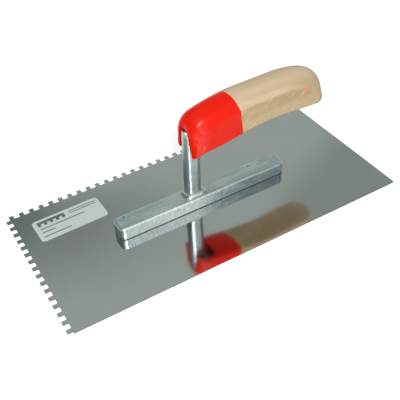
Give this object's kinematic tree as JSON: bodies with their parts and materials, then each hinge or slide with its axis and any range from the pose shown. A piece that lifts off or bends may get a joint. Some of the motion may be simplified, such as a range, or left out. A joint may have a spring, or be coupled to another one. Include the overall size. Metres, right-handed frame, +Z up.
{
  "type": "notched trowel",
  "caption": "Notched trowel: flat steel blade toothed on one long and one short edge, cast bar and post, and a wooden handle with a red dipped nose.",
  "frame": {"origin": "middle of the blade's working face, which is the underside that rests on a table", "axes": "+X along the blade away from its notched end and towards the handle's tail, +Y towards the notched long edge, +Z up through the post"},
  "size_m": [0.28, 0.13, 0.0916],
  "materials": {
    "blade_steel": "bright rolled and polished spring steel",
    "cast_metal": "tumbled casting, mottled, bright on its edges",
    "rivet_steel": "ground flush",
    "beech": "sanded beech, its nose dipped in gloss red lacquer",
    "pin_steel": "plain drawn wire",
    "label_paper": "satin coated sticker"
  },
  "bodies": {
    "root": {"blade": "blade_steel", "handle_bracket": "cast_metal", "blade_rivet_1": "rivet_steel", "blade_rivet_2": "rivet_steel", "blade_rivet_3": "rivet_steel", "blade_rivet_4": "rivet_steel", "blade_rivet_5": "rivet_steel", "blade_rivet_6": "rivet_steel", "blade_rivet_7": "rivet_steel", "handle": "beech", "tang_pin": "pin_steel", "label": "label_paper"}
  },
  "joints": []
}
